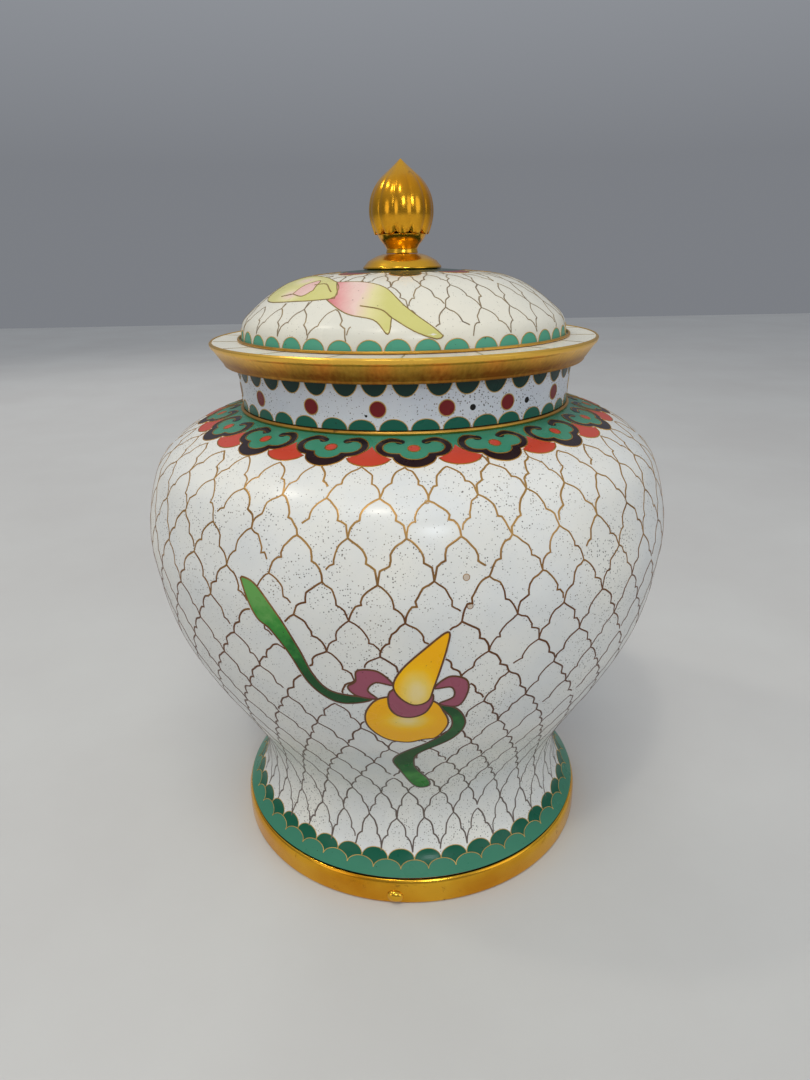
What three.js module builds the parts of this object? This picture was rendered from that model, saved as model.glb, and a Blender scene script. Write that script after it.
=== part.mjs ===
// Cloisonné ginger jar with a lift-off lid: enamel fused on spun copper, gilt brass trim.
// Millimetres, +Z up. The axis of revolution is x = y = 0 and the jar stands on z = 0.
// A jar like this is all turned work, so an outline is a list of [radius, height] points.

import * as THREE from 'three';

// ---------------------------------------------------------------- driving dimensions

const SIDES = 24; // facets round a large piece
const FINE_SIDES = 16; // facets round the finial's pieces
const BOND = 0.1; // gap left where two pieces are fused or soldered together
const ENAMEL = 0.9; // thickness of the outer enamel
const COPPER = 1.2; // thickness of the spun copper
const LINING = 0.5; // thickness of the plain enamel inside

const FOOT_RADIUS = 43.1;
const FOOT_HEIGHT = 6.3;
const FOOT_WIDTH = 3.2; // width of the ring that stands on the table
const BASE_LIFT = 7.8; // height of the jar's floor above the table
const SKIRT_TOP = 8.9; // the green skirt ends and the white body begins
const COLLAR_LOW = 101.6; // the white body ends and the shoulder collar begins
const NECK_LOW = 103.6;
const NECK_HIGH = 114.2;
const MOUTH_HIGH = 115.9; // top of the mouth rim, where the lid's flange rests
const MOUTH_RADIUS = 36.9;
const FLANGE_HIGH = 117.0; // top of the lid's copper flange
const BRIM_LOW = 113.2; // lower edge of the lid's gilt band
const BRIM_HIGH = 118.0;
const BRIM_LOW_RADIUS = 38.7;
const BRIM_HIGH_RADIUS = 42.05;
const BRIM_WALL = 0.9;
const LOCATOR_LOW = 110.0; // lower edge of the collar that centres the lid in the neck
const LOCATOR_RADIUS = 32.2;
const LOCATOR_WALL = 1.2;
const DOME_RADIUS = 34.85;
const CROWN_RADIUS = 13.4; // outer radius of the small collar painted round the finial
const FINIAL_SEAT_RADIUS = 7.4;
const STUD_RADIUS = 1.5;
const STUD_BORE = 1.6;
const WASHER_RADIUS = 4.4;
const TIP_HEIGHT = 152.4;

// ---------------------------------------------------------------- outlines of the enamel

const bodyOutline = outlineThrough([
  [42.5, 6.7], [40.0, 8.7], [37.9, 13.1], [37.1, 19.6], [38.7, 27.0], [43.4, 36.1], [49.8, 47.3],
  [55.0, 59.2], [57.5, 71.9], [57.7, 81.6], [54.3, 93.3], [47.7, 99.3], [39.8, 102.6], [35.6, 103.6],
], 22);
const neckOutline = outlineThrough([[35.6, NECK_LOW], [35.8, 108.4], [36.4, NECK_HIGH]], 3);
const domeOutline = outlineThrough([
  [DOME_RADIUS, 117.8], [34.8, 120.4], [33.2, 122.6], [30.5, 125.0], [26.95, 127.5], [21.7, 129.8],
  [CROWN_RADIUS, 130.9], [FINIAL_SEAT_RADIUS, 131.3], [STUD_BORE, 131.4],
], 10);

// ---------------------------------------------------------------- finishes

const finishes = {
  gilt: [0xc8962e, 0.3, 1.0],
  copper: [0xb5694a, 0.45, 1.0],
  white: [0xd8d8d2, 0.15, 0.0],
  green: [0x2f7f66, 0.15, 0.0],
  turquoise: [0x3fa6a8, 0.2, 0.0],
};

function finish(name) {
  const [color, roughness, metalness] = finishes[name];
  return new THREE.MeshStandardMaterial({ color, roughness, metalness });
}

// ---------------------------------------------------------------- helpers

// A rising outline held as straight facets, with the inward direction at each corner.
function outlineThrough(points, facets) {
  const curve = new THREE.SplineCurve(points.map(([radius, height]) => new THREE.Vector2(radius, height)));
  const corners = curve.getSpacedPoints(facets);
  const inward = corners.map((corner, index) => {
    const tangent = curve.getTangentAt(index / facets);
    return new THREE.Vector2(-tangent.y, tangent.x);
  });
  return { corners, inward };
}

// The place along an outline where it reaches a height, counted in facets.
function reach(outline, height) {
  const { corners } = outline;
  const above = Math.max(1, corners.findIndex((corner) => corner.y >= height));
  const below = corners[above - 1];
  return above - 1 + (height - below.y) / (corners[above].y - below.y);
}

// A place along an outline, moved inwards by a depth. Every depth shares the same facets.
function placeAt(outline, place, depth) {
  const index = Math.min(Math.floor(place), outline.corners.length - 2);
  const [start, end] = [index, index + 1].map((corner) =>
    outline.corners[corner].clone().addScaledVector(outline.inward[corner], depth));
  return start.lerp(end, place - index).toArray();
}

// The stretch of an outline between two heights, moved inwards by a depth.
function inset(outline, lowHeight, highHeight, depth) {
  const start = reach(outline, lowHeight);
  const end = reach(outline, highHeight);
  const places = [start];
  for (let corner = Math.ceil(start); corner < end; corner += 1) {
    const apart = Math.min(corner - start, end - corner);
    if (apart > 0.05) places.push(corner);
  }
  places.push(end);
  return places.map((place) => placeAt(outline, place, depth));
}

// A skin that follows an outline from one height to another, between two depths under it.
function skin(outline, lowHeight, highHeight, outerDepth, innerDepth) {
  const outside = inset(outline, lowHeight, highHeight, outerDepth);
  const inside = inset(outline, lowHeight, highHeight, innerDepth);
  return closed([...outside, ...inside.reverse()]);
}

function closed(outline) {
  return [...outline, outline[0]];
}

function ringSection(innerRadius, outerRadius, low, high) {
  return closed([[innerRadius, low], [outerRadius, low], [outerRadius, high], [innerRadius, high]]);
}

// The section of a round wire laid in a ring.
function wireSection(radius, height, wireRadius, sides = 6) {
  const outline = [];
  for (let side = 0; side < sides; side += 1) {
    const angle = (side / sides) * 2 * Math.PI;
    outline.push([radius + wireRadius * Math.cos(angle), height + wireRadius * Math.sin(angle)]);
  }
  return closed(outline);
}

const jarPieces = new THREE.Group();
const lidPieces = new THREE.Group();

function addMesh(group, name, geometry, finishName) {
  const mesh = new THREE.Mesh(geometry, finish(finishName));
  mesh.name = name;
  group.add(mesh);
}

function addTurned(group, name, outline, finishName, sides = SIDES) {
  const points = outline.map(([radius, height]) => new THREE.Vector2(radius, height));
  const geometry = new THREE.LatheGeometry(points, sides);
  geometry.rotateX(Math.PI / 2);
  addMesh(group, name, geometry, finishName);
}

// ---------------------------------------------------------------- depths of the layers

const copperOut = ENAMEL + BOND;
const copperIn = copperOut + COPPER;
const liningOut = copperIn + BOND;
const liningIn = liningOut + LINING;
const skirtEnd = 6.75;

// ---------------------------------------------------------------- jar: foot and floor

function footRing() {
  const inner = FOOT_RADIUS - FOOT_WIDTH;
  return closed([
    [inner, 0], [FOOT_RADIUS - 0.4, 0], [FOOT_RADIUS, 0.4], [FOOT_RADIUS, 4.7],
    [FOOT_RADIUS - 0.25, 5.7], [FOOT_RADIUS - 0.7, FOOT_HEIGHT], [inner + 0.5, 3.9], [inner, 3.9],
  ]);
}

// The floor is dished: its middle stands higher than its edge.
function floorSection(low, thickness, radius) {
  const rise = 1.5;
  return [
    [0, low + rise], [radius / 2, low + rise * 0.75], [radius, low],
    [radius, low + thickness], [radius / 2, low + rise * 0.75 + thickness], [0, low + rise + thickness],
  ];
}

const baseLow = BASE_LIFT - LINING - COPPER;
const underLow = baseLow - BOND - LINING;

addTurned(jarPieces, 'foot_ring', footRing(), 'gilt');
addTurned(jarPieces, 'base_plate', floorSection(baseLow, COPPER, 37.9), 'copper');
addTurned(jarPieces, 'base_enamel', floorSection(underLow, LINING, 37.4), 'turquoise');

// ---------------------------------------------------------------- jar: body

const throat = 35.6 - liningOut; // the lining's outer radius inside the neck
const shoulderHigh = 103.0;

// The lining covers the floor and the wall in one coat, up to the mouth.
function liningCup() {
  const wallLow = BASE_LIFT + 2.4;
  const throatLow = 101.0;
  const floor = floorSection(BASE_LIFT + BOND, LINING, 36.9);
  return [
    ...floor.slice(0, 3),
    ...inset(bodyOutline, wallLow, shoulderHigh, liningOut),
    [throat, throatLow],
    [throat, NECK_HIGH],
    [throat - LINING, NECK_HIGH],
    [throat - LINING, throatLow - LINING],
    ...inset(bodyOutline, wallLow, shoulderHigh - 0.3, liningIn).reverse(),
    ...floor.slice(4),
  ];
}

addTurned(jarPieces, 'body_shell', skin(bodyOutline, skirtEnd, 103.5, copperOut, copperIn), 'copper');
addTurned(jarPieces, 'body_lining', liningCup(), 'turquoise');
addTurned(jarPieces, 'foot_enamel', skin(bodyOutline, skirtEnd, SKIRT_TOP - BOND, 0, ENAMEL), 'green');
addTurned(jarPieces, 'body_enamel', skin(bodyOutline, SKIRT_TOP, COLLAR_LOW, 0, ENAMEL), 'white');
addTurned(jarPieces, 'collar_enamel', skin(bodyOutline, COLLAR_LOW + BOND, 103.3, 0, ENAMEL), 'green');

// ---------------------------------------------------------------- jar: neck and mouth

// The neck is a ring of its own, with a thicker foot soldered into the shoulder's hole.
function neckShell() {
  const footLow = 101.4;
  const footHigh = NECK_LOW - 0.3;
  const footRadius = 35.1;
  const [wallLow, ...wall] = inset(neckOutline, NECK_LOW, NECK_HIGH, copperOut);
  const inner = inset(neckOutline, NECK_LOW, NECK_HIGH, copperIn);
  return closed([
    [throat + BOND, footLow], [footRadius, footLow], [footRadius, footHigh], wallLow, ...wall,
    ...inner.reverse(),
  ]);
}

function mouthRim() {
  const inner = throat - LINING;
  const low = NECK_HIGH + 0.35;
  return closed([
    [inner, low], [MOUTH_RADIUS - 0.3, low], [MOUTH_RADIUS, low + 0.4],
    [MOUTH_RADIUS, MOUTH_HIGH - 0.5], [MOUTH_RADIUS - 0.5, MOUTH_HIGH], [inner, MOUTH_HIGH],
  ]);
}

addTurned(jarPieces, 'neck_ring_wire', wireSection(35.75, NECK_LOW + 0.35, 0.45), 'gilt');
addTurned(jarPieces, 'neck_shell', neckShell(), 'copper');
addTurned(jarPieces, 'neck_enamel', skin(neckOutline, 104.5, NECK_HIGH, 0, ENAMEL), 'white');
addTurned(jarPieces, 'mouth_rim', mouthRim(), 'gilt');

// ---------------------------------------------------------------- lid: copper, enamel and band

const flangeLow = MOUTH_HIGH + BOND;
const domeTop = 131.39;
const brimSlope = (BRIM_HIGH_RADIUS - BRIM_LOW_RADIUS) / (BRIM_HIGH - BRIM_LOW);

function brimRadius(height) {
  return BRIM_LOW_RADIUS + brimSlope * (height - BRIM_LOW);
}

function lidShell() {
  const lip = LOCATOR_RADIUS - 1.0;
  const flangeOut = brimRadius(flangeLow) - BRIM_WALL - BOND;
  return closed([
    [lip, flangeLow], [flangeOut, flangeLow], [flangeOut, FLANGE_HIGH],
    [DOME_RADIUS - copperOut, FLANGE_HIGH],
    ...inset(domeOutline, 118.0, domeTop, copperOut),
    ...inset(domeOutline, 118.0, domeTop, copperIn).reverse(),
    [DOME_RADIUS - copperIn, FLANGE_HIGH], [lip, FLANGE_HIGH],
  ]);
}

function flangeEnamel() {
  const low = FLANGE_HIGH + BOND;
  const high = BRIM_HIGH - 0.15;
  const inner = 35.0;
  const gap = BRIM_WALL + BOND;
  return closed([[inner, low], [brimRadius(low) - gap, low], [brimRadius(high) - gap, high], [inner, high]]);
}

function rimBand() {
  const lip = BRIM_HIGH - 0.3;
  return closed([
    [BRIM_LOW_RADIUS - BRIM_WALL, BRIM_LOW], [BRIM_LOW_RADIUS, BRIM_LOW], [brimRadius(lip), lip],
    [brimRadius(lip) - 0.2, BRIM_HIGH], [brimRadius(BRIM_HIGH) - BRIM_WALL, BRIM_HIGH],
  ]);
}

const locator = ringSection(LOCATOR_RADIUS - LOCATOR_WALL, LOCATOR_RADIUS, LOCATOR_LOW, flangeLow - BOND);
const crownLow = 130.9;
const crownHigh = 131.28;
const scallopHigh = 120.6;

addTurned(lidPieces, 'lid_shell', lidShell(), 'copper');
addTurned(lidPieces, 'lid_lining', skin(domeOutline, 118.3, 131.35, liningOut, liningIn), 'turquoise');
addTurned(lidPieces, 'dome_scallop_enamel', skin(domeOutline, 118.1, scallopHigh, 0, ENAMEL), 'green');
addTurned(lidPieces, 'dome_enamel', skin(domeOutline, scallopHigh + BOND, crownLow, 0, ENAMEL), 'white');
addTurned(lidPieces, 'dome_crown_enamel', skin(domeOutline, crownLow + 0.01, crownHigh, 0, ENAMEL), 'green');
addTurned(lidPieces, 'dome_base_wire', wireSection(35.4, BRIM_HIGH + 0.2, 0.3), 'gilt');
addTurned(lidPieces, 'flange_enamel', flangeEnamel(), 'white');
addTurned(lidPieces, 'lid_rim_band', rimBand(), 'gilt');
addTurned(lidPieces, 'lid_locating_collar', locator, 'gilt');

// ---------------------------------------------------------------- lid: finial and its fixing

const seatHigh = 131.4;
const stemLow = 134.4;
const budLow = 138.3;
const socketTop = 141.3;

function finialBase() {
  return closed([
    [STUD_BORE, 130.55], [FINIAL_SEAT_RADIUS, 130.55], [FINIAL_SEAT_RADIUS, seatHigh], [8.3, seatHigh],
    [8.3, 131.8], [7.6, 132.5], [7.3, 132.9], [6.4, 133.4], [5.6, 133.8], [4.0, stemLow - BOND],
    [STUD_BORE, stemLow - BOND],
  ]);
}

function finialStem() {
  return closed([
    [STUD_BORE, stemLow], [3.4, stemLow], [3.2, 135.2], [3.7, 136.1], [4.6, 137.1], [5.2, budLow - BOND],
    [STUD_BORE, budLow - BOND],
  ]);
}

function finialBud() {
  const petals = outlineThrough([
    [5.65, budLow], [6.4, 140.3], [6.7, 142.2], [6.6, 143.9], [6.2, 145.6], [5.4, 147.2], [4.05, 148.9],
    [2.15, 150.5], [0.85, 151.6], [0, TIP_HEIGHT],
  ], 9).corners.map((corner) => corner.toArray());
  return [[0, socketTop], [STUD_BORE, socketTop], [STUD_BORE, budLow], ...petals];
}

function hexNut(acrossFlats, bore, thickness) {
  const corner = acrossFlats / Math.sqrt(3);
  const shape = new THREE.Shape();
  for (let side = 0; side < 6; side += 1) {
    const angle = (side * Math.PI) / 3;
    const place = [corner * Math.cos(angle), corner * Math.sin(angle)];
    if (side === 0) shape.moveTo(...place);
    else shape.lineTo(...place);
  }
  shape.closePath();
  const hole = new THREE.Path();
  hole.absarc(0, 0, bore, 0, 2 * Math.PI, true);
  shape.holes.push(hole);
  return new THREE.ExtrudeGeometry(shape, { depth: thickness, bevelEnabled: false, curveSegments: 12 });
}

const washerHigh = 129.0;
const washerLow = 128.2;
const nutThickness = 2.2;
const studLow = 125.4;
const stud = [[0, studLow], [STUD_RADIUS, studLow], [STUD_RADIUS, socketTop - 0.3], [0, socketTop - 0.3]];
const washer = ringSection(STUD_BORE, WASHER_RADIUS, washerLow, washerHigh);
const nut = hexNut(5.5, STUD_BORE, nutThickness);
nut.translate(0, 0, washerLow - BOND - nutThickness);

addTurned(lidPieces, 'finial_base', finialBase(), 'gilt', FINE_SIDES);
addTurned(lidPieces, 'finial_stem', finialStem(), 'gilt', FINE_SIDES);
addTurned(lidPieces, 'finial_bud', finialBud(), 'gilt', FINE_SIDES);
addTurned(lidPieces, 'finial_stud', stud, 'gilt', FINE_SIDES);
addTurned(lidPieces, 'finial_washer', washer, 'gilt', FINE_SIDES);
addMesh(lidPieces, 'finial_nut', nut, 'gilt');

const gingerJar = new THREE.Group();
gingerJar.add(jarPieces, lidPieces);

export default gingerJar;
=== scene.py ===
"""White cloisonné ginger jar: fine surfaces, wires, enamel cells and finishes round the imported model.

Lengths are millimetres until a mesh is made. The jar stands on z = 0, its axis is Z and its front faces -Y.
A place on a turned surface is (angle, along): degrees round from the front, growing to the right, and
millimetres along the surface's outline, growing upwards.
"""

import math
import random

import bpy
import numpy as np
from mathutils import Matrix, Vector
from mathutils.geometry import delaunay_2d_cdt


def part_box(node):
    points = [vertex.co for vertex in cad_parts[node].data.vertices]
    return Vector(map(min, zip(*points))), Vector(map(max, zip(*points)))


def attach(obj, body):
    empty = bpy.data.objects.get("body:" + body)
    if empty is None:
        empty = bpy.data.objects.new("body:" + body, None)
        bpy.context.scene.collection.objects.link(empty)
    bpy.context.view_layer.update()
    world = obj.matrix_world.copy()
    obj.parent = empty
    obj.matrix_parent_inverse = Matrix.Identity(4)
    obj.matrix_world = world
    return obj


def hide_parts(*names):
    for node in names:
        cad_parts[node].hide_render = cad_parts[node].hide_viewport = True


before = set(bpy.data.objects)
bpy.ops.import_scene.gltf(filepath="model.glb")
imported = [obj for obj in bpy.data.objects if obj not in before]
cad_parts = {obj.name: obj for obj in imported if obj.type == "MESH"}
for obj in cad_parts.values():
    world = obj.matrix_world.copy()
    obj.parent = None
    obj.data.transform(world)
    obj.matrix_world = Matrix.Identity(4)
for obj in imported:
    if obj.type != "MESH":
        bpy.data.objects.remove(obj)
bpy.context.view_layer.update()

MM = 0.001
SEGMENTS = 216  # steps round a large turned piece
SMALL_SEGMENTS = 96  # steps round the finial's pieces
WIRE = 0.33  # width of a cloison wire
OUTLINE_WIRE = 0.22  # round the small coloured cells
THIN_WIRE = 0.15
COAT = 0.9  # thickness of the white and green coats
CELL_DEPTH = 0.3  # how deep a coloured cell reaches into the enamel
LOW = 0.03  # how far the lowest layer of cells stands proud
LAYER = 0.008  # how far each layer stands above the one that it covers
MIDDLE, HIGH = LOW + 2 * LAYER, LOW + 4 * LAYER


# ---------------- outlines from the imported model

def section(node):
    """The closed outline that a turned CAD piece was spun from, as (radius, height) corners in order."""
    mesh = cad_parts[node].data
    corner = {}
    for vertex in mesh.vertices:
        x, y, z = vertex.co / MM
        if abs(x) < 0.002 and y < 0.002:
            corner[vertex.index] = (round(-y, 2), round(z, 2))
    links = {}
    for edge in mesh.edges:
        start, end = (corner.get(index) for index in edge.vertices)
        if start and end and start != end:
            links.setdefault(start, set()).add(end)
            links.setdefault(end, set()).add(start)
    ends = sorted(place for place in links if len(links[place]) == 1)
    here = ends[0] if ends else min(links)
    outline = [here]
    while True:
        onward = sorted(place for place in links[here] if place not in outline)
        if not onward:
            return np.array(outline)
        here = onward[0]
        outline.append(here)


def turn_at(before, here, after):
    """How sharply an outline turns at a corner, in degrees."""
    arriving, leaving = here - before, after - here
    cosine = arriving @ leaving / (np.linalg.norm(arriving) * np.linalg.norm(leaving))
    return math.degrees(math.acos(max(-1.0, min(1.0, cosine))))


def spline(points, step):
    """A smooth curve through points, with a new point about every step."""
    points = np.array(points, float)
    if len(points) < 3:
        count = max(1, round(np.linalg.norm(points[1] - points[0]) / step))
        return np.linspace(points[0], points[1], count + 1)
    padded = np.vstack([2 * points[0] - points[1], points, 2 * points[-1] - points[-2]])
    curve = []
    for a, b, c, d in zip(padded, padded[1:], padded[2:], padded[3:]):
        count = max(1, round(np.linalg.norm(c - b) / step))
        for t in np.arange(count) / count:
            bend = (2 * a - 5 * b + 4 * c - d) * t**2 + (3 * b - a - 3 * c + d) * t**3
            curve.append(b + 0.5 * ((c - a) * t + bend))
    curve.append(points[-1])
    return np.array(curve)


def split_runs(outline, sharp, is_open):
    """The stretches of an outline between its sharp corners."""
    count = len(outline)
    turns = [turn_at(outline[i - 1], outline[i], outline[(i + 1) % count]) for i in range(count)]
    if is_open:
        turns[0] = turns[-1] = 180
    start = next(i for i in range(count) if turns[i] > sharp)
    runs, run = [], [outline[start]]
    for step in range(1, count + 1):
        place = (start + step) % count
        run.append(outline[place])
        if turns[place] > sharp:
            runs.append(np.array(run))
            run = [outline[place]]
    return runs


def outer_run(node):
    """The outer side of an enamel coat: of its section's two long stretches, the one further out."""
    runs = split_runs(section(node), sharp=50, is_open=False)
    long_runs = sorted(runs, key=lambda run: np.linalg.norm(np.diff(run, axis=0), axis=1).sum())[-2:]
    outer = max(long_runs, key=lambda run: run.mean(0).sum())
    climb = outer[-1] - outer[0]
    return outer if climb[1] > climb[0] else outer[::-1]


class Surface:
    """A surface of revolution through the outer sides of one or more enamel coats."""

    def __init__(self, nodes, start_height, last=None):
        runs = [outer_run(node) for node in nodes]
        inner = [run[1:-1] for run in runs]
        end = runs[-1][-1:] if last is None else [last]
        self.outline = spline(np.vstack([runs[0][:1], *inner, end]), 0.2)
        steps = np.linalg.norm(np.diff(self.outline, axis=0), axis=1)
        self.lengths = np.concatenate([[0], np.cumsum(steps)]) + self.outline[0][1] - start_height
        slope = np.gradient(self.outline, axis=0)
        slope /= np.linalg.norm(slope, axis=1)[:, None]
        self.outward = np.stack([slope[:, 1], -slope[:, 0]], axis=1)

    def column(self, table, along):
        return np.interp(along, self.lengths, table)

    def radius(self, along):
        return self.column(self.outline[:, 0], along)

    def degrees(self, width, along):
        """The angle that a width spans at a place along the outline."""
        return math.degrees(width / float(self.radius(along)))

    def skin(self, low, high):
        """The section of a coat of this surface between two places along it, with a point about every mm."""
        along = np.linspace(low, high, max(2, round(high - low) + 1))
        outer = np.stack([self.column(self.outline[:, i], along) for i in (0, 1)], axis=1)
        outward = np.stack([self.column(self.outward[:, i], along) for i in (0, 1)], axis=1)
        return np.vstack([outer, (outer - outward * COAT)[::-1]])

    def place(self, path, lift):
        """Points and outward directions in metres for an array of (angle, along) places."""
        angle, along = np.radians(path[:, 0]), path[:, 1]
        out_r, out_z = (self.column(self.outward[:, i], along) for i in (0, 1))
        radius = self.radius(along) + out_r * lift
        height = self.column(self.outline[:, 1], along) + out_z * lift
        across, ahead = np.sin(angle), -np.cos(angle)
        points = np.stack([radius * across, radius * ahead, height], axis=1) * MM
        normals = np.stack([out_r * across, out_r * ahead, out_z], axis=1)
        return points, normals


# ---------------- meshes

def linked(name, data):
    """A new object in the scene that shows data."""
    thing = bpy.data.objects.new(name, data)
    bpy.context.scene.collection.objects.link(thing)
    return thing


class Piece:
    """Collects closed bodies and makes them into one named mesh."""

    def __init__(self):
        self.points, self.faces, self.tones = [], [], []

    def add(self, points, faces, tones=None):
        base = len(self.points)
        self.points.extend(tuple(point) for point in points)
        self.faces.extend(tuple(base + index for index in face) for face in faces)
        self.tones.extend(tones if tones is not None else [0.0] * len(points))

    def make(self, name, body, slot, material, replaces=(), sharp=35):
        mesh = bpy.data.meshes.new(name)
        mesh.from_pydata(self.points, [], self.faces)
        mesh.update()
        tone = mesh.attributes.new("tone", "FLOAT", "POINT")
        tone.data.foreach_set("value", self.tones)
        mesh.shade_smooth()
        mesh.set_sharp_from_angle(angle=math.radians(sharp))
        mesh.materials.append(material)
        thing = linked(name, mesh)
        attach(thing, body)
        if replaces:
            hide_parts(*replaces)


def spin(piece, outline, segments, shape=None):
    """Adds the closed solid that an anticlockwise outline of (radius, height) makes when it is turned.

    shape changes (radius, height) by the angle, for a fluted piece."""
    outline = np.array(outline, float)
    area = np.sum(outline[:, 0] * np.roll(outline[:, 1], -1) - np.roll(outline[:, 0], -1) * outline[:, 1])
    if area < 0:
        outline = outline[::-1]
    points, rings = [], []
    for radius, height in outline:
        if radius < 0.001:
            rings.append([len(points)] * segments)
            points.append((0, 0, height * MM))
            continue
        rings.append(list(range(len(points), len(points) + segments)))
        for step in range(segments):
            angle = 2 * math.pi * step / segments
            r, z = shape(radius, height, angle) if shape else (radius, height)
            points.append((r * math.sin(angle) * MM, -r * math.cos(angle) * MM, z * MM))
    faces = []
    for index, ring in enumerate(rings):
        above = rings[(index + 1) % len(rings)]
        if len(set(ring)) == 1 and len(set(above)) == 1:
            continue
        for step in range(segments):
            onward = (step + 1) % segments
            corners = (ring[step], ring[onward], above[onward], above[step])
            faces.append(tuple(dict.fromkeys(corners)))
    piece.add(points, faces)


def rounded(outline, fillet, is_open, step=0.8, sharp=28):
    """An outline whose gentle corners become curves and whose sharp ones get a small round."""
    runs = [spline(run, step) for run in split_runs(outline, sharp, is_open)]
    result = []
    for index, run in enumerate(runs):
        last = is_open and index == len(runs) - 1
        result.extend(run[1:-1])
        if last:
            break
        after = runs[(index + 1) % len(runs)]
        corner = run[-1]
        near = [corner + (other - corner) * min(0.45, fillet / np.linalg.norm(other - corner))
                for other in (run[-2], after[1])]
        for t in (0.0, 0.25, 0.5, 0.75, 1.0):
            result.append(near[0] * (1 - t) ** 2 + corner * 2 * t * (1 - t) + near[1] * t**2)
    return np.array(result)


def turned_piece(node, body, slot, material, fillet=0.15, segments=SEGMENTS):
    """Replaces a turned CAD piece by the same section, smoothed and spun finely."""
    corners = section(node)
    is_open = corners[0][0] < 0.001
    outline = rounded(corners, fillet, is_open)
    if is_open:
        outline = np.vstack([corners[:1], outline, corners[-1:]])
    piece = Piece()
    spin(piece, outline, segments)
    piece.make(node + "_fine", body, slot, material, replaces=[node])


def coat(surface, node, body, slot, material, low, high):
    """Replaces an enamel coat by a fine one between two places along the whole surface's outline."""
    piece = Piece()
    spin(piece, surface.skin(low, high), SEGMENTS)
    piece.make(node + "_fine", body, slot, material, replaces=[node])


# A wire's section: (share of its width, height above the enamel).
WIRE_SECTION = ((-0.5, -0.15), (0.5, -0.15), (0.5, 0.03), (0.0, 0.06), (-0.5, 0.03))


def stroke(piece, surface, path, width=WIRE, lift=0.0, closed=False):
    """Adds a thin wire laid along (angle, along) places on a surface."""
    path = np.array(path, float)
    points, normals = surface.place(path, 0.0)
    before, after = np.roll(points, 1, axis=0), np.roll(points, -1, axis=0)
    if not closed:
        before[0], after[-1] = points[0], points[-1]
    arriving, leaving = unit(points - before), unit(after - points)
    direction = unit(arriving + leaving)
    side = np.cross(direction, normals)
    straightness = np.clip(np.linalg.norm(arriving + leaving, axis=1) / 2, 0.65, 1)
    if not closed:
        straightness[0] = straightness[-1] = 1
    count, corners = len(path), len(WIRE_SECTION)
    ring = [points + side * (share * width * MM / straightness)[:, None] + normals * (height + lift) * MM
            for share, height in ((np.full(count, s), h) for s, h in WIRE_SECTION)]
    vertices = np.stack(ring, axis=1).reshape(-1, 3)
    faces = []
    for step in range(count if closed else count - 1):
        onward = (step + 1) % count
        for corner in range(corners):
            beside = (corner + 1) % corners
            faces.append((step * corners + corner, step * corners + beside,
                          onward * corners + beside, onward * corners + corner))
    if not closed:
        faces.append(tuple(range(corners))[::-1])
        faces.append(tuple((count - 1) * corners + corner for corner in range(corners)))
    piece.add(vertices, faces)


def unit(vectors):
    return vectors / np.maximum(np.linalg.norm(vectors, axis=1), 1e-9)[:, None]


def cell(piece, surface, outline, lift=LOW, tone=None, grain=1.0):
    """Adds a thin slab of enamel that fills a closed outline of (angle, along) places."""
    centre = np.mean(outline, axis=0)
    squash = np.array([math.radians(float(surface.radius(centre[1]))), 1.0])
    flat = short_edges((np.array(outline) - centre) * squash, grain)
    low, high = flat.min(0), flat.max(0)
    across, up = (np.arange(low[i] + grain / 2, high[i], grain) for i in (0, 1))
    grid = [(x, y) for x in across for y in up]
    if grid:
        clear = inside(flat, grid, margin=-0.35 * grain)
        grid = [place for place, is_clear in zip(grid, clear) if is_clear]
    places = [Vector(place) for place in [*flat, *grid]]
    corners, _, triangles, *_ = delaunay_2d_cdt(places, [], [list(range(len(flat)))], 1, 1e-5)
    made = np.array([tuple(corner) for corner in corners])
    path = made / squash + centre
    top, _ = surface.place(path, lift)
    bottom, _ = surface.place(path, lift - CELL_DEPTH)
    count = len(path)
    faces, edges = [], set()
    for a, b, c in triangles:
        (ax, ay), (bx, by), (cx, cy) = made[a], made[b], made[c]
        if (bx - ax) * (cy - ay) - (cx - ax) * (by - ay) < 0:
            b, c = c, b
        faces.append((a, b, c))
        faces.append((a + count, c + count, b + count))
        edges |= {(a, b), (b, c), (c, a)}
    for a, b in sorted(edges):
        if (b, a) not in edges:
            faces.append((a, a + count, b + count, b))
    tones = [tone(*place) for place in path] * 2 if tone else None
    piece.add(np.vstack([top, bottom]), faces, tones)


def short_edges(outline, longest):
    """A closed outline with points added so that no edge is longer than longest."""
    edges = []
    for start, end in zip(outline, np.roll(outline, -1, axis=0)):
        count = math.ceil(np.linalg.norm(end - start) / longest + 1e-6)
        edges.append(start + (end - start) * (np.arange(count) / count)[:, None])
    return np.vstack(edges)


def inside(outline, places, margin=0.0):
    """Which places lie inside a closed outline, or within a margin of it. A negative margin keeps clear."""
    outline, places = np.array(outline), np.array(places)
    x, y = places[:, 0, None], places[:, 1, None]
    (x0, y0), (x1, y1) = outline.T, np.roll(outline, -1, axis=0).T
    rise = np.where(y1 == y0, 1e-9, y1 - y0)
    crossing = ((y0 > y) != (y1 > y)) & (x < (x1 - x0) * (y - y0) / rise + x0)
    within = crossing.sum(1) % 2 == 1
    if margin == 0:
        return within
    span = np.stack([x1 - x0, y1 - y0], axis=1)
    reach = (x - x0) * span[:, 0] + (y - y0) * span[:, 1]
    share = np.clip(reach / np.maximum((span**2).sum(1), 1e-12), 0, 1)
    gap = np.hypot(x - x0 - share * span[:, 0], y - y0 - share * span[:, 1]).min(1)
    return within | (gap < margin) if margin > 0 else within & (gap > -margin)


# ---------------- shapes drawn on the surfaces

def loop(*runs, step=0.6):
    """A closed outline made of smooth runs that meet at corners."""
    return np.vstack([spline(run, step)[:-1] for run in runs])


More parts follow.
